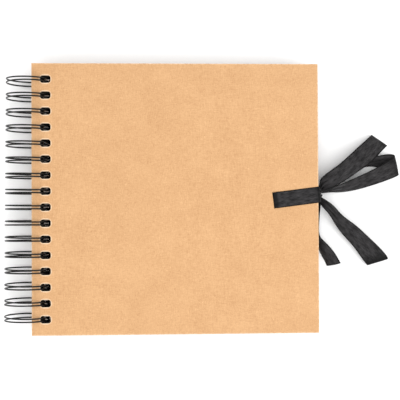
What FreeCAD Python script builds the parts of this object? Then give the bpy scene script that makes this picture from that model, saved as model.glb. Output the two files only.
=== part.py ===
"""Twin-loop scrapbook album with kraft board covers and a satin ribbon tie.

The album is drawn flat first: x runs from the covers' spine edge to the fore-edge,
y along the spine from its middle, and z is up from the axis of the wire loops.
It is then tipped about Y until it lies on a table, on its loops and its fore-edge,
and moved so that the origin is under the middle of its box, with Z up.
"""
import FreeCAD, Part
import math
import os

V = FreeCAD.Vector

# ---------------------------------------------------------------- driving dimensions, mm
LOOPS = 16                  # pairs of wire fingers
PITCH = 12.7                # from one pair to the next: 2 to the inch
COVER_WIDTH = 228.6         # spine edge to fore-edge
END_MARGIN = 12.7           # last hole's centre to the end of the cover

BOARD = 1.9                 # grey board
WRAP = 0.3                  # kraft paper outside, folded round the board's edges
TURN_IN = 13.0              # how far the wrap comes round onto the board's inside
LINER = 0.2                 # kraft paper that hides the turn-ins
LINER_INSET = 3.0           # liner's edge to the cover's edge
GLUE_GAP = 0.15             # clearance round a pasted edge
EDGE_ROUND = 0.25           # rounded outer edges of the wrap

PAGES = 22
PAGE = 0.45                 # card thickness
PAGE_GAP = 0.25             # air between one page and the next
PAGE_INSET = 3.0            # pages are this much short of the covers on three sides
SPINE_INSET = 0.8           # and this much at the spine

WIRE = 1.2                  # coated wire's diameter
LOOP_CLEARANCE = 1.25       # wire to the hole's near and far ends, over the whole turn
FINGER_GAP = 2.82           # between the two wires of a pair, on average
FINGER_TAPER = 0.26         # each wire leans this much in or out of that
TAPER_PEAK = 240.0          # degrees round the loop where a pair is widest
ELBOW = 1.3                 # bend between a finger and the seam wire
SEAM_CLEARANCE = 0.25       # seam wire to the back cover and to the last page
TIP_CLEARANCE = 0.15        # between a finger tip and the seam wire
END_STUB = 1.2              # straight wire left at each end of the binding
BINDING_SKEW = 0.5          # degrees that the binding has settled in its loose holes

HOLE_LENGTH = 8.4           # across the spine
HOLE_WIDTH = 6.0            # along the spine
HOLE_CORNER = 2.2           # rounder, and the end loops would rub in the corners as pages turn
HOLE_X = 10.9               # hole centre to the cover's spine edge

RIBBON = 0.28               # satin's thickness
RIBBON_WIDTH = 15.9
STRAP_WIDTH = 12.5          # ribbon drawn in where it comes through its slit
STRAP_TURN = 7.1            # degrees that the straps slant from square
SLIT_TO_EDGE = 36.1         # slit to the fore-edge
SLIT_Y = -1.7
SLIT_GAP = 0.3              # round the ribbon in its slit
ANCHOR = 25.0               # pasted end under the liner
STRAP_DROP = 3.0            # bend where a strap turns down over the edge
STRAP_REACH = 0.4           # strap past the edge before it bends
KNOT_SIZE = (9.0, 12.0, 9.8)
KNOT_ROUND = 2.4
KNOT_OUT = 3.4              # knot's centre from the fore-edge
KNOT_Y = 5.5
KNOT_CLEARANCE = 0.5        # front strap's end above the knot
BOW_FILM = 0.5              # thickness of the bow's loops and tails, which are never flat
TAIL_SETTLE = 0.22          # lower tail sinks this much from one and a half ribbons off the table

# ---------------------------------------------------------------- sizes that follow
COVER = LINER + WRAP + BOARD + WRAP
COVER_HEIGHT = (LOOPS - 1) * PITCH + 2 * END_MARGIN
PAGE_PITCH = PAGE + PAGE_GAP
SEAM_ROOM = WIRE + 2 * SEAM_CLEARANCE
STACK = 2 * COVER + SEAM_ROOM + PAGES * PAGE_PITCH
TOP = STACK / 2
WIRE_R = WIRE / 2
# a round loop clears both ends of the holes at mid-stack and at the covers' outer faces
SPARE = WIRE_R + LOOP_CLEARANCE
LOOP_RADIUS = ((HOLE_LENGTH ** 2 + TOP ** 2 - 2 * SPARE * HOLE_LENGTH)
               / (2 * (HOLE_LENGTH - 2 * SPARE)))
LOOP_AXIS_X = HOLE_X + HOLE_LENGTH / 2 - SPARE - LOOP_RADIUS
SEAM_HEIGHT = -TOP + COVER + SEAM_CLEARANCE + WIRE_R
SLIT_X = COVER_WIDTH - SLIT_TO_EDGE
KNOT = V(COVER_WIDTH + KNOT_OUT, KNOT_Y, 0)
BASE = V(0, 0, 0)
X, Y, Z = V(1, 0, 0), V(0, 1, 0), V(0, 0, 1)


def box(x0, x1, y0, y1, z0, z1):
    return Part.makeBox(x1 - x0, y1 - y0, z1 - z0, V(x0, y0, z0))


def cut_all(shape, tools):
    return shape.cut(Part.makeCompound(tools)) if tools else shape


def loop_places():
    return [(n - (LOOPS - 1) / 2) * PITCH for n in range(LOOPS)]


# ---------------------------------------------------------------- covers and pages
def hole_tools(z0, z1):
    """Oblong punches with rounded corners, one per pair of fingers, long way across the spine."""
    tools = []
    for y in loop_places():
        punch = box(HOLE_X - HOLE_LENGTH / 2, HOLE_X + HOLE_LENGTH / 2,
                    y - HOLE_WIDTH / 2, y + HOLE_WIDTH / 2, z0, z1)
        upright = [e for e in punch.Edges if e.BoundBox.ZLength > (z1 - z0) / 2]
        tools.append(punch.makeFillet(HOLE_CORNER, upright))
    return tools


def slanted(shape):
    """Turn a piece drawn along x from the slit at the origin to where its strap lies."""
    turned = shape.copy()
    turned.rotate(BASE, Z, STRAP_TURN)
    turned.translate(V(SLIT_X, SLIT_Y, 0))
    return turned


def cover_pieces():
    """Board, wrap and liner of one cover, inside face at z = 0 and outside face up."""
    half = COVER_HEIGHT / 2
    w, t = COVER_WIDTH, WRAP
    punches = hole_tools(-1, COVER + 1)
    board_low = LINER + WRAP
    slit_half = RIBBON / 2 + SLIT_GAP
    slit = slanted(box(-slit_half, slit_half, -STRAP_WIDTH / 2 - SLIT_GAP,
                       STRAP_WIDTH / 2 + SLIT_GAP, board_low - 0.01, COVER + 1))

    board = box(t, w - t, t - half, half - t, board_low, COVER - WRAP)
    outer = box(0, w, -half, half, LINER, COVER)
    rim = [e for e in outer.Edges if e.BoundBox.ZMax > LINER + 0.01]
    outer = outer.makeFillet(EDGE_ROUND, rim)
    recess = box(TURN_IN, w - TURN_IN, TURN_IN - half, half - TURN_IN, LINER - 1, board_low)
    wrap = cut_all(outer, [board, recess, slit] + punches)

    inset, g = LINER_INSET, GLUE_GAP
    sheet = box(inset, w - inset, inset - half, half - inset, 0, LINER)
    pad = box(TURN_IN + g, w - TURN_IN - g, TURN_IN + g - half, half - TURN_IN - g, 0, board_low)
    anchor = slanted(box(-ANCHOR - g, RIBBON / 2 + SLIT_GAP, -STRAP_WIDTH / 2 - g,
                         STRAP_WIDTH / 2 + g, board_low - RIBBON, board_low + 1))
    liner = cut_all(sheet.fuse(pad).removeSplitter(), [anchor] + punches)
    return {"board": cut_all(board, [slit] + punches), "wrap": wrap, "liner": liner}


def cover_ribbon(strap_end):
    """Ribbon of one cover: pasted end, up through the slit, along the outside, over the edge.

    Same frame as cover_pieces. strap_end is the height at which it stops.
    """
    t, half = RIBBON, STRAP_WIDTH / 2
    tail_low = LINER + WRAP - t
    out_low = COVER
    edge = SLIT_TO_EDGE / math.cos(math.radians(STRAP_TURN))
    bend = edge + STRAP_REACH
    r = STRAP_DROP
    centre = V(bend, -half, out_low + t / 2 - r)
    arc = [centre + V(0, 0, r + t / 2), centre + V((r + t / 2) * math.sqrt(0.5), 0,
           (r + t / 2) * math.sqrt(0.5)), centre + V(r + t / 2, 0, 0)]
    inner = [centre + V(r - t / 2, 0, 0), centre + V((r - t / 2) * math.sqrt(0.5), 0,
             (r - t / 2) * math.sqrt(0.5)), centre + V(0, 0, r - t / 2)]
    corner = Part.Face(Part.Wire([
        Part.Arc(*arc).toShape(), Part.LineSegment(arc[2], inner[0]).toShape(),
        Part.Arc(*inner).toShape(), Part.LineSegment(inner[2], arc[0]).toShape(),
    ])).extrude(Y * STRAP_WIDTH)
    pieces = [
        box(-ANCHOR, t / 2, -half, half, tail_low, tail_low + t),
        box(-t / 2, t / 2, -half, half, tail_low, out_low + t),
        box(-t / 2, bend, -half, half, out_low, out_low + t),
        corner,
        box(bend + r - t / 2, bend + r + t / 2, -half, half, strap_end, centre.z),
    ]
    ribbon = pieces[0]
    for piece in pieces[1:]:
        ribbon = ribbon.fuse(piece)
    return slanted(ribbon.removeSplitter())


def as_front(shape):
    """A cover piece as the front cover: outside face up, on top of the stack."""
    moved = shape.copy()
    moved.translate(V(0, 0, TOP - COVER))
    return moved


def as_back(shape):
    """The same piece as the back cover: outside face down, under the stack."""
    return as_front(shape).mirror(BASE, Z)


def page(number):
    top = TOP - COVER - PAGE_GAP / 2 - (number - 1) * PAGE_PITCH
    half = COVER_HEIGHT / 2 - PAGE_INSET
    sheet = box(SPINE_INSET, COVER_WIDTH - PAGE_INSET, -half, half, top - PAGE, top)
    return cut_all(sheet, hole_tools(top - PAGE - 1, top + 1))


# ---------------------------------------------------------------- wire binding
def finger_point(degrees, side):
    """Centreline of a finger on side +1 or -1 of its pair, round a slightly tipped circle."""
    a = math.radians(degrees)
    lean = FINGER_TAPER * math.cos(math.radians(degrees - TAPER_PEAK))
    return V(LOOP_RADIUS * math.cos(a), side * (FINGER_GAP / 2 + lean), LOOP_RADIUS * math.sin(a))


def finger_direction(degrees, side):
    step = 0.01
    return (finger_point(degrees + step, side) - finger_point(degrees - step, side)).normalize()


def tangent_arc(start, along, towards, radius, turn):
    """Arc that leaves start in direction along and bends towards a square-on direction."""
    def at(angle):
        return start + along * (radius * math.sin(angle)) + towards * (radius * (1 - math.cos(angle)))
    return Part.Arc(start, at(turn / 2), at(turn)).toShape(), at(turn)


def elbow(side):
    """Bend from the seam wire into a finger, and the point where the straight wire starts."""
    start = seam_angle() - math.degrees(ELBOW / LOOP_RADIUS)
    back = finger_direction(start, side)
    square = (Y * side - back * (Y * side).dot(back)).normalize()
    bend, seam_point = tangent_arc(finger_point(start, side), back, square, ELBOW,
                                   math.acos((Y * side).dot(back)))
    return start, bend, seam_point


def seam_angle():
    return math.degrees(math.asin(SEAM_HEIGHT / LOOP_RADIUS))


def wire_loop(stub_low, stub_high):
    """One pair of fingers joined at the tip, with the seam wire stubs on both sides."""
    tip_reach = (FINGER_GAP / 2 + WIRE + TIP_CLEARANCE) / LOOP_RADIUS
    last = seam_angle() + math.degrees(tip_reach) - 360
    edges = []
    for side, stub in ((-1, stub_low), (1, stub_high)):
        first, bend, seam_point = elbow(side)
        finger = Part.Arc(finger_point(first, side), finger_point((first + last) / 2, side),
                          finger_point(last, side)).toShape()
        line = Part.LineSegment(seam_point, seam_point + Y * side * stub).toShape()
        edges.append([line, bend, finger])

    end, on = finger_point(last, 1), finger_direction(last, 1) * -1
    inward = (on * Y.dot(on) - Y).normalize()
    radius = -end.y / inward.y
    tip, _ = tangent_arc(end, on, inward, radius, math.pi + 2 * math.asin(on.y))

    path = Part.Wire(Part.__sortEdges__(edges[0] + [tip] + edges[1]))
    low_end = edges[0][0].Vertexes[-1].Point
    section = Part.Wire(Part.makeCircle(WIRE_R, low_end, Y))
    return path.makePipeShell([section], True, False)


def wire_binding():
    half_bridge = PITCH / 2 - elbow(1)[2].y
    loops = []
    for n, y in enumerate(loop_places()):
        loop = wire_loop(END_STUB if n == 0 else half_bridge,
                         END_STUB if n == LOOPS - 1 else half_bridge)
        loop.translate(V(LOOP_AXIS_X, y, 0))
        loop.rotate(V(LOOP_AXIS_X, 0, 0), Z, -BINDING_SKEW)
        loops.append(loop)
    return Part.makeCompound(loops)


# ---------------------------------------------------------------- bow at the fore-edge
def rest_tip():
    """Degrees that the album tips about Y to lie on its loops and its fore-edge."""
    reach, depth = COVER_WIDTH - LOOP_AXIS_X, TOP + RIBBON
    ring = LOOP_RADIUS + WIRE_R
    return math.degrees(math.asin(ring / math.hypot(reach, depth)) - math.atan2(depth, reach))


def table_height(x):
    return -TOP - RIBBON + math.tan(math.radians(rest_tip())) * (x - COVER_WIDTH)


def from_knot(shape, degrees):
    """Place a piece drawn outwards along x from the knot's middle."""
    moved = shape.copy()
    moved.rotate(BASE, Z, degrees)
    moved.translate(KNOT)
    return moved


def gathered(shape, start, full, height=60):
    """Draw a strip in to a narrow neck at the knot, full width from full onwards."""
    neck, half = RIBBON_WIDTH * 0.2, RIBBON_WIDTH / 2
    reach = 200
    plan = [V(start, -neck, -height), V(full, -half, -height), V(reach, -half, -height),
            V(reach, half, -height), V(full, half, -height), V(start, neck, -height)]
    return shape.common(Part.Face(Part.makePolygon(plan + plan[:1])).extrude(Z * 2 * height))


def strip(points):
    """A ribbon strip that follows (x, z) points, full width across y."""
    t, half = BOW_FILM / 2, RIBBON_WIDTH / 2
    top = [V(x, -half, z + t) for x, z in points]
    low = [V(x, -half, z - t) for x, z in reversed(points)]
    return Part.Face(Part.makePolygon(top + low + top[:1])).extrude(Y * 2 * half)


def upper_loop_span():
    """Heights of the standing loop's lower and upper edges."""
    low = table_height(KNOT.x + 60) + 0.3
    return low, low + RIBBON_WIDTH * 0.75


def upper_tail():
    """Lies over the upper loop, then comes down to the table."""
    start, length = KNOT_SIZE[1] / 2 + 0.3, 70.3
    low = table_height(KNOT.x + length) + BOW_FILM
    over = upper_loop_span()[1]
    points = [(start, over + 0.78), (22, over + 3.98), (38, over + 1.38), (54, low + 3.0),
              (length, low)]
    return from_knot(gathered(strip(points), start, 26), 39.5)


def standing_loop(length, bulge, low, high):
    """A loop that stands on the ribbon's edge: a teardrop in plan."""
    start = KNOT_SIZE[1] / 2 + 0.3
    half = [(start, 0.9), (length * 0.45, bulge), (length * 0.85, bulge * 0.95), (length, 0)]

    def outline(inset):
        a = [V(start, half[0][1] - inset, low), V(half[1][0], half[1][1] - inset, low),
             V(half[2][0], half[2][1] - inset, low), V(length - inset, 0, low)]
        b = [V(p.x, -p.y, low) for p in reversed(a[:-1])]
        return Part.Face(Part.makePolygon(a + b + a[:1])).extrude(Z * (high - low))
    return outline(0).cut(outline(BOW_FILM))


def upper_loop():
    return from_knot(standing_loop(66.9, 5.5, *upper_loop_span()), 16.3)


def lower_loop():
    start, length = KNOT_SIZE[1] / 2 + 1.2, 73.9
    low = table_height(KNOT.x + length * 0.6) + BOW_FILM
    top_run = [(start, 0.7), (24, 3.6), (50, 0.5), (66, -1.6), (length, -4.8)]
    low_run = [(66, low + 0.4), (44, low + 0.4), (22, -4.6), (start, -0.9)]
    outer = [V(x, -RIBBON_WIDTH / 2, z) for x, z in top_run + low_run]
    wire = Part.makePolygon(outer + outer[:1])
    inner = wire.makeOffset2D(-BOW_FILM, 2)
    ring = Part.Face(wire).cut(Part.Face(inner)).extrude(Y * RIBBON_WIDTH)
    return from_knot(gathered(ring, start, 28), -49.3)


def lower_tail():
    """Hangs beside the fore-edge on its edge, then turns out flat on the table."""
    x0 = COVER_WIDTH + 1.6
    top = 4.0
    start_y = KNOT.y - KNOT_SIZE[1] / 2 - 0.3
    # the back strap's inside face comes in by half of any added ribbon thickness
    low = table_height(COVER_WIDTH + 12) + 1.5 * RIBBON - TAIL_SETTLE
    standing = box(x0, x0 + BOW_FILM, -31.0, start_y, low, top)
    flat = [V(x0, -31, low), V(x0 + RIBBON_WIDTH * 0.55, -31, low), V(251, -51.5, low),
            V(238.5, -55.5, low), V(x0, -42, low)]
    plate = Part.Face(Part.makePolygon(flat + flat[:1])).extrude(Z * BOW_FILM)
    return standing.fuse(plate).removeSplitter()


def bow_knot():
    a, b, c = KNOT_SIZE
    knot = box(KNOT.x - a / 2, KNOT.x + a / 2, KNOT.y - b / 2, KNOT.y + b / 2, -c / 2, c / 2)
    return knot.makeFillet(KNOT_ROUND, knot.Edges)


# ---------------------------------------------------------------- the whole album
def album():
    nodes = {}
    for name, piece in cover_pieces().items():
        nodes["front_cover_" + name] = as_front(piece)
        nodes["back_cover_" + name] = as_back(piece)
    knot_half = KNOT_SIZE[2] / 2
    to_inside = TOP - COVER
    nodes["front_ribbon"] = as_front(cover_ribbon(knot_half + KNOT_CLEARANCE - to_inside))
    nodes["back_ribbon"] = as_back(cover_ribbon(knot_half - to_inside))
    nodes["wire_binding"] = wire_binding()
    nodes["bow_knot"] = bow_knot()
    nodes["bow_upper_loop"] = upper_loop()
    nodes["bow_lower_loop"] = lower_loop()
    nodes["bow_upper_tail"] = upper_tail()
    nodes["bow_lower_tail"] = lower_tail()
    for number in range(1, PAGES + 1):
        nodes["page_%02d" % number] = page(number)
    return nodes


def placed(nodes):
    """Tip the album onto the table and bring the middle of its footprint to the origin."""
    for shape in nodes.values():
        shape.rotate(BASE, Y, rest_tip())
    whole = Part.makeCompound(list(nodes.values())).optimalBoundingBox(False, False)
    shift = V(-(whole.XMin + whole.XMax) / 2, -(whole.YMin + whole.YMax) / 2, -whole.ZMin)
    for shape in nodes.values():
        shape.translate(shift)
    return shift


nodes = album()
shift = placed(nodes)
axis = FreeCAD.Rotation(Y, rest_tip()).multVec(V(LOOP_AXIS_X, 0, 0)) + shift
os.makedirs("parts", exist_ok=True)
for name, shape in nodes.items():
    shape.exportStep("parts/%s.step" % name)
print("nodes", len(nodes), "tip", round(rest_tip(), 4), "loop axis", axis, "shift", shift)
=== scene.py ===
import math

import bmesh
import bpy
from mathutils import Matrix, Vector


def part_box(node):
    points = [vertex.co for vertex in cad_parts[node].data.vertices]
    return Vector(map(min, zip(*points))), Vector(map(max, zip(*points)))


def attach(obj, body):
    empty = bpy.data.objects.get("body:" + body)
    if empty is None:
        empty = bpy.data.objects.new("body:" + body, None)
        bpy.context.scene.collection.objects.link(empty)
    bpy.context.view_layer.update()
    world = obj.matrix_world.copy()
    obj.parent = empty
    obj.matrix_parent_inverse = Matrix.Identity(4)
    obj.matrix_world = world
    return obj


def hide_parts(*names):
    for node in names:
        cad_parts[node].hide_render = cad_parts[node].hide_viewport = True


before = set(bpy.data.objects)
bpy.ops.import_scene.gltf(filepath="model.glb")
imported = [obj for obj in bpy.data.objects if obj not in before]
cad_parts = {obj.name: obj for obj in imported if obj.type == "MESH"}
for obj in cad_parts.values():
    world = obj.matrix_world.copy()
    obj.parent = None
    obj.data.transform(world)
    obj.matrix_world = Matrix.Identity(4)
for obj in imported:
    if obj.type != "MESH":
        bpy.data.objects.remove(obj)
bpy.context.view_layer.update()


# ---------------------------------------------------------------- studio
# A white table top with soft light from a large overhead panel, a smaller side panel and a
# pale room, and a camera that looks straight down on the closed album.
table_mesh = bpy.data.meshes.new("table_top")
bm = bmesh.new()
bmesh.ops.create_grid(bm, x_segments=1, y_segments=1, size=3.0)
bm.to_mesh(table_mesh)
bm.free()
table_top = bpy.data.objects.new("table_top", table_mesh)
bpy.context.collection.objects.link(table_top)

white_laminate = bpy.data.materials.new("white_laminate")
white_laminate.use_nodes = True
laminate = white_laminate.node_tree.nodes["Principled BSDF"]
laminate.inputs["Base Color"].default_value = (0.9, 0.9, 0.9, 1)
laminate.inputs["Roughness"].default_value = 0.75
table_mesh.materials.append(white_laminate)


def light_panel(name, place, aim, size, power):
    lamp = bpy.data.lights.new(name, "AREA")
    lamp.shape, lamp.size, lamp.energy = "SQUARE", size, power
    panel = bpy.data.objects.new(name, lamp)
    panel.location = place
    panel.rotation_euler = (Vector(aim) - Vector(place)).to_track_quat("-Z", "Y").to_euler()
    bpy.context.collection.objects.link(panel)


light_panel("overhead_panel", place=(0.15, -0.25, 1.4), aim=(0, 0, 0), size=1.5, power=13.5)
light_panel("side_panel", place=(1.0, -0.5, 0.7), aim=(0.08, 0, 0), size=0.5, power=3.0)

room = bpy.data.worlds.new("pale_room")
room.use_nodes = True
room.node_tree.nodes["Background"].inputs["Color"].default_value = (1, 1, 1, 1)
room.node_tree.nodes["Background"].inputs["Strength"].default_value = 1.02
bpy.context.scene.world = room
bpy.context.scene.view_settings.view_transform = "Standard"

camera_data = bpy.data.cameras.new("copy_stand")
camera_data.lens = 76.2
camera_data.sensor_width = 36.0
copy_stand = bpy.data.objects.new("copy_stand", camera_data)
copy_stand.location = (-0.0132, -0.0098, 0.701)
copy_stand.rotation_euler = (math.radians(0.74), math.radians(-0.89), math.radians(-0.247))
bpy.context.collection.objects.link(copy_stand)
bpy.context.scene.camera = copy_stand


# ---------------------------------------------------------------- cover boards
# Each cover has a stiff core of grey board, made from pulped waste paper. Only its cut
# edge shows, inside the punched holes and the ribbon's slit.
MM = 0.001


def new_group(name, inputs, outputs):
    group = bpy.data.node_groups.new(name, "ShaderNodeTree")
    for label, kind, value in inputs:
        socket = group.interface.new_socket(label, in_out="INPUT", socket_type=kind)
        if value is not None:
            socket.default_value = value
    for label, kind in outputs:
        group.interface.new_socket(label, in_out="OUTPUT", socket_type=kind)
    return group


def math_node(tree, operation, a, b=None):
    node = tree.nodes.new("ShaderNodeMath")
    node.operation = operation
    for socket, value in zip(node.inputs, (a, b)):
        if isinstance(value, (int, float)):
            socket.default_value = value
        elif value is not None:
            tree.links.new(value, socket)
    return node.outputs[0]


def noise(tree, coords, scale, detail, stretch=None, turn=0.0):
    """Noise on coords, in features per metre; stretch and turn draw it out into fibres."""
    if stretch:
        mapping = tree.nodes.new("ShaderNodeMapping")
        mapping.inputs["Scale"].default_value = stretch
        mapping.inputs["Rotation"].default_value = (0, 0, turn)
        tree.links.new(coords, mapping.inputs["Vector"])
        coords = mapping.outputs["Vector"]
    node = tree.nodes.new("ShaderNodeTexNoise")
    node.inputs["Scale"].default_value = scale
    node.inputs["Detail"].default_value = detail
    tree.links.new(coords, node.inputs["Vector"])
    return node.outputs["Fac"]


def spread(tree, value, low, high, to_low=0.0, to_high=1.0):
    node = tree.nodes.new("ShaderNodeMapRange")
    ends = (("From Min", low), ("From Max", high), ("To Min", to_low), ("To Max", to_high))
    for label, number in ends:
        node.inputs[label].default_value = number
    tree.links.new(value, node.inputs["Value"])
    return node.outputs["Result"]


def paper_stock_group():
    """Matted fibres, dark and pale flecks and cloudy formation, for every paper and board."""
    group = new_group("paper_stock",
                      [("Fleck", "NodeSocketFloat", 0.5), ("Cloud", "NodeSocketFloat", 0.5)],
                      [("Tone", "NodeSocketFloat"), ("Height", "NodeSocketFloat")])
    into, out = group.nodes.new("NodeGroupInput"), group.nodes.new("NodeGroupOutput")
    where = group.nodes.new("ShaderNodeTexCoord").outputs["Object"]
    cloud = spread(group, noise(group, where, 55, 5), 0.3, 0.7, -1, 1)
    grain = spread(group, noise(group, where, 1300, 3), 0.3, 0.7, -1, 1)
    along = spread(group, noise(group, where, 260, 4, (1, 7, 1), 0.35), 0.35, 0.65, -1, 1)
    across = spread(group, noise(group, where, 260, 4, (7, 1, 1), 1.1), 0.35, 0.65, -1, 1)
    dark = spread(group, noise(group, where, 620, 2), 0.66, 0.74)
    pale = spread(group, noise(group, where, 480, 2), 0.68, 0.76)
    fibres = math_node(group, "ADD", along, across)
    flecks = math_node(group, "SUBTRACT", pale, dark)
    fine = math_node(group, "ADD", math_node(group, "MULTIPLY", fibres, 0.16),
                     math_node(group, "MULTIPLY", grain, 0.22))
    flecked = math_node(group, "MULTIPLY", flecks, into.outputs["Fleck"])
    fine = math_node(group, "ADD", fine, flecked)
    cloudy = math_node(group, "MULTIPLY", cloud, into.outputs["Cloud"])
    tone = math_node(group, "ADD", math_node(group, "ADD", fine, cloudy), 0.5)
    height = math_node(group, "ADD", math_node(group, "MULTIPLY", fibres, 0.5), grain)
    group.links.new(tone, out.inputs["Tone"])
    group.links.new(height, out.inputs["Height"])
    return group


paper_stock = paper_stock_group()
wrap_low, wrap_high = (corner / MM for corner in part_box("front_cover_wrap"))
HOLES = 16
PITCH = 12.7
HOLE_LENGTH, HOLE_WIDTH = 8.4, 6.0
HOLE_FROM_SPINE = 10.9


def rim_highlight_and_pale_edges_group():
    """A painted highlight on the rim round each punched hole, where its cut edge catches the
    light, and pale patches along the cover's outer edges.
    """
    group = new_group("rim_highlight_and_pale_edges", [], [("Rim_highlight_and_pale_edge", "NodeSocketFloat")])
    out = group.nodes.new("NodeGroupOutput")
    where = group.nodes.new("ShaderNodeTexCoord").outputs["Object"]
    split = group.nodes.new("ShaderNodeSeparateXYZ")
    group.links.new(where, split.inputs[0])
    x = math_node(group, "MULTIPLY", split.outputs["X"], 1 / MM)
    y = math_node(group, "MULTIPLY", split.outputs["Y"], 1 / MM)
    hole_line = wrap_low.x + HOLE_FROM_SPINE
    beside = math_node(group, "ABSOLUTE", math_node(group, "SUBTRACT", x, hole_line))
    straight = (HOLE_LENGTH - HOLE_WIDTH) / 2
    beside = math_node(group, "MAXIMUM", math_node(group, "SUBTRACT", beside, straight), 0)
    steps = math_node(group, "ADD", math_node(group, "MULTIPLY", y, 1 / PITCH), 0.5)
    along = math_node(group, "MULTIPLY", math_node(group, "PINGPONG", steps, 0.5), PITCH)
    squares = math_node(group, "ADD", math_node(group, "MULTIPLY", beside, beside),
                        math_node(group, "MULTIPLY", along, along))
    from_hole = math_node(group, "SUBTRACT", math_node(group, "SQRT", squares), HOLE_WIDTH / 2)
    # painted highlight: paler within about a millimetre outside each hole, where the punched edge
    # catches the light
    rim = spread(group, from_hole, 0.2, 1.2, 0.85, 0)
    punched = math_node(group, "LESS_THAN", math_node(group, "ABSOLUTE", y), PITCH * HOLES / 2)
    rim = math_node(group, "MULTIPLY", rim, punched)
    middle = (wrap_low + wrap_high) / 2
    off_x = math_node(group, "ABSOLUTE", math_node(group, "SUBTRACT", x, middle.x))
    off_x = math_node(group, "SUBTRACT", off_x, (wrap_high.x - wrap_low.x) / 2)
    off_y = math_node(group, "SUBTRACT", math_node(group, "ABSOLUTE", y), wrap_high.y)
    edge = spread(group, math_node(group, "MAXIMUM", off_x, off_y), -1.1, -0.1, 0, 0.6)
    patchy = spread(group, noise(group, where, 420, 4), 0.35, 0.62)
    edge = math_node(group, "MULTIPLY", edge, patchy)
    group.links.new(math_node(group, "MAXIMUM", rim, edge), out.inputs["Rim_highlight_and_pale_edge"])
    return group


rim_highlight_and_pale_edges = rim_highlight_and_pale_edges_group()


def paper_material(name, dark, pale, roughness, fleck, cloud, depth, highlight_and_edge_colour=None):
    """A paper or board between two colours, with its fibres raised by depth metres.

    The last argument is the colour of the painted highlight round its punched holes and of the
    pale patches along its edges.
    """
    material = bpy.data.materials.new(name)
    material.use_nodes = True
    tree = material.node_tree
    shader = tree.nodes["Principled BSDF"]
    stock = tree.nodes.new("ShaderNodeGroup")
    stock.node_tree = paper_stock
    stock.inputs["Fleck"].default_value = fleck
    stock.inputs["Cloud"].default_value = cloud
    mix = tree.nodes.new("ShaderNodeMix")
    mix.data_type = "RGBA"
    mix.inputs["A"].default_value = (*dark, 1)
    mix.inputs["B"].default_value = (*pale, 1)
    tree.links.new(stock.outputs["Tone"], mix.inputs["Factor"])
    colour = mix.outputs["Result"]
    # painted highlight round the punched holes, and pale patches along the edges
    if highlight_and_edge_colour:
        highlight_and_edge_node = tree.nodes.new("ShaderNodeGroup")
        highlight_and_edge_node.node_tree = rim_highlight_and_pale_edges
        highlight_and_edge_mix = tree.nodes.new("ShaderNodeMix")
        highlight_and_edge_mix.data_type = "RGBA"
        highlight_and_edge_mix.inputs["B"].default_value = (*highlight_and_edge_colour, 1)
        tree.links.new(colour, highlight_and_edge_mix.inputs["A"])
        tree.links.new(highlight_and_edge_node.outputs["Rim_highlight_and_pale_edge"], highlight_and_edge_mix.inputs["Factor"])
        colour = highlight_and_edge_mix.outputs["Result"]
    tree.links.new(colour, shader.inputs["Base Color"])
    bump = tree.nodes.new("ShaderNodeBump")
    bump.inputs["Distance"].default_value = depth
    bump.inputs["Strength"].default_value = 1.0
    tree.links.new(stock.outputs["Height"], bump.inputs["Height"])
    tree.links.new(bump.outputs["Normal"], shader.inputs["Normal"])
    shader.inputs["Roughness"].default_value = roughness
    shader.inputs["Specular IOR Level"].default_value = 0.25
    return material


def finish_node(node, material):
    """Give a CAD piece its real finish."""
    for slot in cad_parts[node].material_slots:
        slot.material = material


grey_board = paper_material("grey_board", dark=(0.16, 0.14, 0.12), pale=(0.34, 0.31, 0.27),
                            roughness=0.9, fleck=0.5, cloud=0.3, depth=0.00004)
for side in ("front", "back"):
    finish_node(side + "_cover_board", grey_board)


# ---------------------------------------------------------------- kraft wraps
# Natural brown kraft paper, pasted over the outside of each board and turned in round its
# edges, then punched with the board.
# Its pale colour round each punched hole is a painted highlight.
kraft = paper_material("kraft", dark=(0.455, 0.248, 0.114), pale=(0.630, 0.380, 0.193),
                       roughness=0.82, fleck=0.5, cloud=0.12, depth=0.00002,
                       highlight_and_edge_colour=(0.78, 0.60, 0.42))
for side in ("front", "back"):
    finish_node(side + "_cover_wrap", kraft)


# ---------------------------------------------------------------- liners
# A lighter kraft sheet pasted inside each cover. It hides the turn-ins and the glued end of
# the ribbon.
# Its pale colour round each punched hole is a painted highlight.
liner_paper = paper_material("liner_paper", dark=(0.40, 0.228, 0.112), pale=(0.545, 0.344, 0.184),
                             roughness=0.85, fleck=0.4, cloud=0.15, depth=0.000015,
                             highlight_and_edge_colour=(0.66, 0.50, 0.35))
for side in ("front", "back"):
    finish_node(side + "_cover_liner", liner_paper)


# ---------------------------------------------------------------- pages
# Black scrapbook card, uncoated, punched to hang loose on the wire.
black_card = paper_material("black_card", dark=(0.010, 0.0095, 0.009), pale=(0.030, 0.028, 0.027),
                            roughness=0.8, fleck=0.4, cloud=0.3, depth=0.00002)
for page in sorted(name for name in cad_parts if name.startswith("page_")):
    finish_node(page, black_card)


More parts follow.
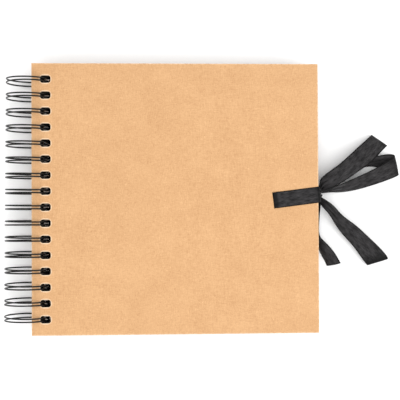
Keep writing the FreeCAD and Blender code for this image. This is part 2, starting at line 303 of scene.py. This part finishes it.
# ---------------------------------------------------------------- wire binding
# One steel wire, bent into twin loops and coated with black nylon. It is closed on a binding
# machine once the covers and pages are on it.
black_nylon = bpy.data.materials.new("black_nylon")
black_nylon.use_nodes = True
nylon_tree = black_nylon.node_tree
nylon = nylon_tree.nodes["Principled BSDF"]
nylon.inputs["Base Color"].default_value = (0.003, 0.003, 0.003, 1)
nylon.inputs["Specular IOR Level"].default_value = 0.28
where = nylon_tree.nodes.new("ShaderNodeTexCoord").outputs["Object"]
ripple = noise(nylon_tree, where, 900, 3)
nylon_tree.links.new(spread(nylon_tree, ripple, 0.3, 0.7, 0.28, 0.42), nylon.inputs["Roughness"])
nylon_bump = nylon_tree.nodes.new("ShaderNodeBump")
nylon_bump.inputs["Distance"].default_value = 0.00002
nylon_tree.links.new(ripple, nylon_bump.inputs["Height"])
nylon_tree.links.new(nylon_bump.outputs["Normal"], nylon.inputs["Normal"])
finish_node("wire_binding", black_nylon)


# ---------------------------------------------------------------- ribbon straps
# Black satin ribbon, 15.9 mm wide. Each strap is glued under its liner, comes out through the
# slit with both edges drawn in, and runs over the fore-edge to the knot.
RIBBON_WIDTH = 15.9
RIBBON_THICK = 0.28
LANES = 12                  # strips across the ribbon
WEFT_PITCH = 0.36           # between the satin's threads
WARP_PITCH = 0.24
SATIN_DULL, SATIN_BRIGHT = 0.36, 0.66
knot_low, knot_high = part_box("bow_knot")
knot_middle = (knot_low + knot_high) / 2


def satin_material():
    """Black satin: fine floats, a corded edge and soft creases, with a broad cool sheen painted
    into its colour and painted shade along its edges and folds.
    """
    material = bpy.data.materials.new("black_satin")
    material.use_nodes = True
    tree = material.node_tree
    shader = tree.nodes["Principled BSDF"]
    uv = tree.nodes.new("ShaderNodeUVMap")
    uv.uv_map = "weave"
    split = tree.nodes.new("ShaderNodeSeparateXYZ")
    tree.links.new(uv.outputs["UV"], split.inputs[0])
    along, across = split.outputs["X"], split.outputs["Y"]
    weft_turns = math_node(tree, "MULTIPLY", along, 2 * math.pi / (WEFT_PITCH * MM))
    warp_turns = math_node(tree, "MULTIPLY", across, 2 * math.pi / (WARP_PITCH * MM))
    weft = math_node(tree, "SINE", weft_turns)
    warp = math_node(tree, "SINE", warp_turns)
    edge = math_node(tree, "ABSOLUTE", across)
    selvedge_and_shade = spread(tree, edge, 0.0066, 0.0076)
    slub = noise(tree, uv.outputs["UV"], 300, 4, (1, 8, 1))
    crease = noise(tree, uv.outputs["UV"], 110, 3, (1, 2.5, 1))
    threads = math_node(tree, "ADD", math_node(tree, "MULTIPLY", weft, 0.6),
                        math_node(tree, "MULTIPLY", warp, 0.4))
    threads = math_node(tree, "ADD", threads, math_node(tree, "MULTIPLY", selvedge_and_shade, 2.0))
    height = math_node(tree, "ADD", threads, math_node(tree, "MULTIPLY", crease, 14.0))
    bump = tree.nodes.new("ShaderNodeBump")
    bump.inputs["Distance"].default_value = 0.00002
    tree.links.new(height, bump.inputs["Height"])
    tree.links.new(bump.outputs["Normal"], shader.inputs["Normal"])
    # painted sheen: the base colour runs from near-black to a paler cool grey where the slub and
    # crease noise is bright
    mix = tree.nodes.new("ShaderNodeMix")
    mix.data_type = "RGBA"
    mix.inputs["A"].default_value = (0.0018, 0.0016, 0.0017, 1)
    mix.inputs["B"].default_value = (0.0440, 0.0415, 0.0430, 1)
    painted_sheen = math_node(tree, "ADD", math_node(tree, "MULTIPLY", slub, 0.55),
                      math_node(tree, "MULTIPLY", crease, 0.45))
    tree.links.new(spread(tree, painted_sheen, SATIN_DULL, SATIN_BRIGHT), mix.inputs["Factor"])
    # painted shade: near-black along the ribbon's edges and at its slits, knots and folded ends
    shade_mix = tree.nodes.new("ShaderNodeMix")
    shade_mix.data_type = "RGBA"
    shade_mix.inputs["B"].default_value = (0.0015, 0.0014, 0.0014, 1)
    tree.links.new(mix.outputs["Result"], shade_mix.inputs["A"])
    shade_attr = tree.nodes.new("ShaderNodeAttribute")
    shade_attr.attribute_name = "painted_shade"
    shade_mask = math_node(tree, "MAXIMUM", selvedge_and_shade, shade_attr.outputs["Fac"])
    tree.links.new(shade_mask, shade_mix.inputs["Factor"])
    tree.links.new(shade_mix.outputs["Result"], shader.inputs["Base Color"])
    shader.inputs["Specular IOR Level"].default_value = 0.09
    rough = spread(tree, painted_sheen, SATIN_DULL, SATIN_BRIGHT, 0.60, 0.34)
    tree.links.new(rough, shader.inputs["Roughness"])
    shader.inputs["Anisotropic"].default_value = 0.5
    shader.inputs["Sheen Weight"].default_value = 0.03
    shader.inputs["Sheen Roughness"].default_value = 0.35
    return material


black_satin = satin_material()


def ribbon(name, sections, body, node):
    """A strip through its cross-sections, in mm from the knot's middle.

    Each section is (left edge, right edge, gather, crown, shade). gather, from 0 to 1, folds away
    the width that a narrow section leaves over, crown lifts the middle of the strip, and shade is
    how far painted shade darkens the satin there, at slits, knots and folded ends.
    """
    last = len(sections) - 1
    middles = [(Vector(left) + Vector(right)) / 2 for left, right, *_ in sections]
    travelled = [0.0]
    for a, b in zip(middles, middles[1:]):
        travelled.append(travelled[-1] + (b - a).length)
    bm = bmesh.new()
    bmesh.ops.create_grid(bm, x_segments=last, y_segments=LANES, size=0.5)
    weave = bm.loops.layers.uv.new("weave")
    shade_attr = bm.verts.layers.float.new("painted_shade")
    for face in bm.faces:
        face.smooth = True
        for corner in face.loops:
            at = corner.vert.co
            gone = travelled[round((at.x + 0.5) * last)]
            corner[weave].uv = (gone * MM, at.y * RIBBON_WIDTH * MM)
    for vert in bm.verts:
        row, v = round((vert.co.x + 0.5) * last), vert.co.y * 2
        left, right, gather, crown, vert[shade_attr] = sections[row]
        across = Vector(left) - Vector(right)
        along = middles[min(row + 1, last)] - middles[max(row - 1, 0)]
        width = across.length
        spare = math.sqrt(max(0.0, (RIBBON_WIDTH / width) ** 2 - 1))
        pleat = gather * spare * width / 12
        folds = math.cos(3 * math.pi * v) + 0.4 * math.sin(2 * math.pi * v + 1)
        lift = crown * (1 - v * v) + pleat * folds
        place = middles[row] + across * v / 2 + along.cross(across).normalized() * lift
        vert.co = knot_middle + place * MM
    mesh = bpy.data.meshes.new(name)
    bm.to_mesh(mesh)
    bm.free()
    mesh.materials.append(black_satin)
    piece = bpy.data.objects.new(name, mesh)
    bpy.context.collection.objects.link(piece)
    soft = piece.modifiers.new("soft", "SUBSURF")
    soft.levels = soft.render_levels = 2
    soft.boundary_smooth = "PRESERVE_CORNERS"
    cloth = piece.modifiers.new("cloth", "SOLIDIFY")
    cloth.thickness, cloth.offset = RIBBON_THICK * MM, 0
    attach(piece, body)
    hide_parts(node)


# along the strap from its slit, and out from the cover's face
STRAP_RUN = [(-25, -2.34), (-1.4, -2.34), (-0.2, -2.3), (0, -2.0), (0, -0.8), (0, -0.2),
             (0.1, 0.3), (0.8, 0.9), (2.4, 1.0), (4.6, 0.55), (7, 0.3), (14, 0.24), (26, 0.2),
             (35, 0.2), (36.6, 0.2)]
STRAP_WIDTH = 12.6
SLIT_SHADE_ENDS = 3        # painted shade from the slit to here
EDGE_SHADE_STARTS = 36     # and from here over the fore-edge
strap_turn = math.radians(7.1)
album_tip = math.radians(1.6573)


def strap(name, slit, outward, ending, body, node):
    """A strap whose face points outward (1 up, -1 down), from its slit to the knot."""
    tilt = Matrix.Rotation(album_tip, 3, "Y")
    along = tilt @ Vector((math.cos(strap_turn), math.sin(strap_turn), 0))
    across = tilt @ Vector((-math.sin(strap_turn), math.cos(strap_turn), 0))
    out = tilt @ Vector((0, 0, outward))
    sections = []
    for run, rise in STRAP_RUN + ending:
        middle = Vector(slit) + along * run + out * rise
        half = across * (STRAP_WIDTH / 2 + (0.15 if run > 2 else 0))
        sections.append((middle + half, middle - half, 0, 0.12 if 2 < run < 30 else 0,
                         0.8 if run < SLIT_SHADE_ENDS or run > EDGE_SHADE_STARTS else 0))
    ribbon(name, sections, body, node)


strap("front_strap", (-39.2, -7.2, 12.4), 1,
      [(37.3, -0.1), (38.0, -0.9), (38.2, -2.2), (38.2, -5.8)], "front_cover", "front_ribbon")
strap("back_strap", (-39.8, -7.2, -10.1), -1,
      [(37.3, -0.1), (38.0, -0.9), (38.2, -2.2), (38.2, -5.2)], "back_cover", "back_ribbon")


# ---------------------------------------------------------------- bow
# The two straps are tied over the fore-edge in a bow of the same ribbon: two loops, two cut
# ends and one wrap round the middle. It lies beside the album on the table.
# Each section's last number is painted shade, at the knot and at the loops' folded ends.
upper_loop = [
    ((-0.9, 0.8, 1.7), (-0.2, -1.0, -2.0), 1, 0, 0.5),
    ((2.2, 1.5, 1.9), (3.4, -0.5, -3.5), 1, 0, 0.5),
    ((6.2, 2.0, 2.9), (8.4, -0.5, -6.5), 0.6, 0, 0.5),
    ((12.2, 4.2, 2.9), (14.4, -0.7, -8.1), 0.25, 0, 0.0),
    ((19.1, 6.8, 2.5), (21.5, -0.2, -8.9), 0.1, 0.2, 0.0),
    ((28.2, 10.9, 1.7), (31.0, 1.3, -8.1), 0, 0.4, 0.0),
    ((37.8, 15.2, 0.7), (41.7, 4.4, -6.7), 0, 0.6, 0.0),
    ((47.5, 19.9, -0.5), (52.1, 7.8, -4.5), 0, 0.6, 0.0),
    ((56.4, 24.6, -2.1), (60.7, 11.0, -3.9), 0, 0.4, 0.0),
    ((62.1, 28.4, -3.7), (65.6, 13.1, -4.7), 0, 0.2, 0.5),
    ((63.4, 29.5, -6.5), (66.7, 14.2, -7.7), 0, 0.2, 0.5),
    ((62.1, 31.1, -8.3), (65.5, 15.7, -10.1), 0, 0, 0.0),
    ((55.9, 31.0, -7.9), (59.4, 18.2, -10.7), 0, 0, 0.0),
    ((48.7, 29.3, -5.5), (51.2, 19.6, -10.7), 0, 0, 0.0),
    ((39.4, 28.0, -1.9), (42.6, 21.9, -10.6), 0, 0, 0.0),
    ((28.5, 26.0, 0.7), (32.6, 18.3, -10.5), 0, 0, 0.0),
    ((17.0, 17.7, 1.3), (21.4, 11.6, -9.7), 0, 0, 0.0),
    ((8.6, 8.4, 1.1), (11.9, 4.9, -7.5), 0.4, 0, 0.0),
    ((2.8, 1.9, 0.7), (3.9, 0.3, -4.0), 1, 0, 0.5),
    ((-0.8, 0.8, 0.5), (0.0, -0.8, -3.0), 1, 0, 0.5),
]
ribbon("upper_loop", upper_loop, "back_cover", "bow_upper_loop")

upper_tail = [
    ((-1.1, 3.6, 1.5), (-0.1, -0.3, 0.0), 1, 0, 0.5),
    ((-0.3, 6.6, 1.7), (2.2, 0.4, 0.7), 1, 0, 0.5),
    ((-0.7, 10.2, 2.9), (4.8, 1.5, 1.9), 0.5, 0, 0.0),
    ((5.7, 15.6, 4.1), (12.4, 4.4, 3.7), 0.2, 0.3, 0.0),
    ((13.6, 20.8, 4.7), (20.6, 9.0, 4.3), 0.1, 0.5, 0.0),
    ((21.7, 27.8, 4.5), (29.8, 15.5, 4.1), 0, 0.7, 0.0),
    ((29.2, 34.7, 2.3), (38.7, 21.2, 2.1), 0, 0.7, 0.0),
    ((36.7, 40.8, -1.9), (47.0, 28.3, -1.9), 0, 0.5, 0.0),
    ((41.3, 44.5, -6.1), (53.2, 34.6, -6.1), 0, 0.3, 0.0),
    ((44.5, 47.1, -9.3), (57.7, 38.1, -9.5), 0, 0, 0.0),
]
ribbon("upper_tail", upper_tail, "back_cover", "bow_upper_tail")

lower_loop = [
    ((-1.2, -1.1, 1.1), (-0.9, -4.2, -1.5), 1, 0, 0.5),
    ((-0.2, -3.0, 1.5), (-0.3, -7.2, -1.5), 1, 0, 0.5),
    ((0.3, -5.0, 1.9), (0.1, -10.4, -1.5), 0.9, 0, 0.5),
    ((3.9, -6.7, 2.3), (3.1, -13.8, -2.1), 0.7, 0.2, 0.5),
    ((8.3, -9.5, 2.1), (6.8, -17.4, -2.9), 0.5, 0.3, 0.0),
    ((12.8, -13.3, 1.1), (10.0, -21.8, -3.5), 0.4, 0.3, 0.0),
    ((16.9, -18.3, -0.3), (13.1, -27.2, -4.3), 0.25, 0.4, 0.0),
    ((22.6, -22.7, -1.5), (18.0, -33.9, -4.5), 0, 0.6, 0.0),
    ((30.3, -27.9, -2.5), (22.7, -39.2, -4.9), 0, 0.8, 0.0),
    ((37.9, -35.1, -3.7), (27.8, -44.5, -5.3), 0, 0.9, 0.0),
    ((45.2, -41.7, -4.7), (32.3, -51.0, -5.9), 0, 0.8, 0.0),
    ((52.0, -48.4, -5.5), (36.2, -56.3, -6.5), 0, 0.5, 0.0),
    ((56.9, -54.0, -6.7), (39.2, -60.0, -7.5), 0, 0.2, 0.9),
    ((57.4, -56.0, -8.5), (40.6, -61.0, -9.3), 0, 0, 0.9),
    ((56.1, -56.3, -10.3), (41.1, -60.8, -10.8), 0, 0, 0.9),
    ((50.8, -49.9, -10.9), (37.4, -55.0, -10.9), 0, 0, 0.0),
    ((42.7, -39.9, -10.8), (30.3, -45.5, -10.8), 0, 0, 0.0),
    ((31.1, -30.3, -9.7), (23.1, -35.9, -10.3), 0, 0, 0.0),
    ((20.2, -22.1, -7.1), (15.8, -27.3, -9.3), 0.4, 0, 0.0),
    ((10.3, -13.1, -4.1), (8.8, -17.3, -6.9), 0.7, 0, 0.5),
    ((3.3, -7.4, -1.9), (2.9, -12.1, -4.1), 0.9, 0, 0.5),
    ((-0.8, -1.6, -0.9), (-0.3, -4.6, -2.9), 1, 0, 0.5),
]
ribbon("lower_loop", lower_loop, "back_cover", "bow_lower_loop")

lower_tail = [
    ((-0.6, -2.8, -0.5), (0.2, -3.6, -5.5), 1, 0, 0.5),
    ((-0.3, -8.4, 1.5), (0.9, -8.9, -8.3), 1, 0, 0.5),
    ((-0.9, -15.9, 3.5), (0.3, -16.8, -10.7), 0.3, 0, 0.0),
    ((-1.5, -25.6, 3.5), (-0.1, -28.2, -10.9), 0, 0.3, 0.0),
    ((-1.4, -33.6, 0.9), (-0.5, -39.6, -10.9), 0, 0.6, 0.0),
    ((0.5, -37.7, -1.9), (0.0, -46.8, -10.9), 0, 1.4, 0.0),
    ((4.7, -41.3, -3.5), (1.7, -50.6, -10.9), 0, 2.0, 0.0),
    ((9.3, -45.9, -5.1), (3.2, -53.4, -11.0), 0, 2.4, 0.0),
    ((13.5, -51.1, -6.9), (5.3, -57.0, -11.1), 0, 2.2, 0.0),
    ((18.4, -59.1, -9.7), (7.1, -61.3, -11.1), 0, 1.0, 0.0),
]
ribbon("lower_tail", lower_tail, "back_cover", "bow_lower_tail")

# the wrap: once and a quarter round the waist of the bow, gathered to half its width
WRAP_STEPS = 15
WRAP_START, WRAP_STEP = 140, 32          # degrees round the waist
half = Vector((-0.5, 4.0, 0))
wrap = []
for step in range(WRAP_STEPS):
    turn = math.radians(WRAP_START - WRAP_STEP * step)
    middle = Vector((-1.5 + (2.5 - 0.04 * step) * math.cos(turn), -0.6 + 0.05 * step,
                     (4.5 - 0.05 * step) * math.sin(turn)))
    # painted shade over the whole wrap
    wrap.append((middle + half, middle - half, 0.7, 0.5, 0.3))
ribbon("knot_wrap", wrap, "back_cover", "bow_knot")
